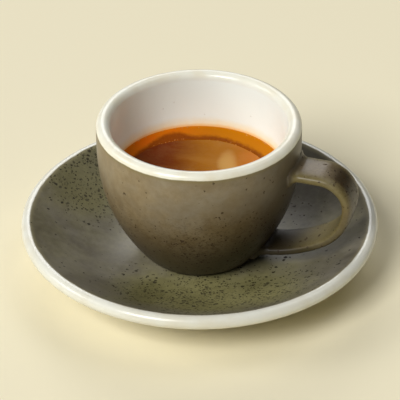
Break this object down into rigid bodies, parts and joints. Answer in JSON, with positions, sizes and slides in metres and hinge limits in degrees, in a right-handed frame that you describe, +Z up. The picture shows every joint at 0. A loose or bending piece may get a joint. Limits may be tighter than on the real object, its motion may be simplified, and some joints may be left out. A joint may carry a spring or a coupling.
{
  "type": "espresso shot",
  "caption": "Espresso with a ring of crema in a thick-walled rounded cup with a strap handle, standing in the well of its round dished saucer.",
  "frame": {"origin": "centre of the saucer's foot ring, on the surface that it stands on", "axes": "+Z up along the saucer's axis, +X towards the cup's handle"},
  "size_m": [0.118, 0.118, 0.0556],
  "materials": {
    "saucer_glaze": "satin olive-brown glaze with dark specks, the rim and underside glazed white",
    "cup_glaze": "satin olive-brown glaze with brown specks outside and on the handle, gloss white inside and over the lip",
    "coffee": "glossy brown liquid",
    "crema": "smooth orange-brown foam with a soft sheen"
  },
  "bodies": {
    "root": {"saucer": "saucer_glaze", "cup": "cup_glaze", "espresso": "coffee", "crema": "crema"}
  },
  "joints": []
}
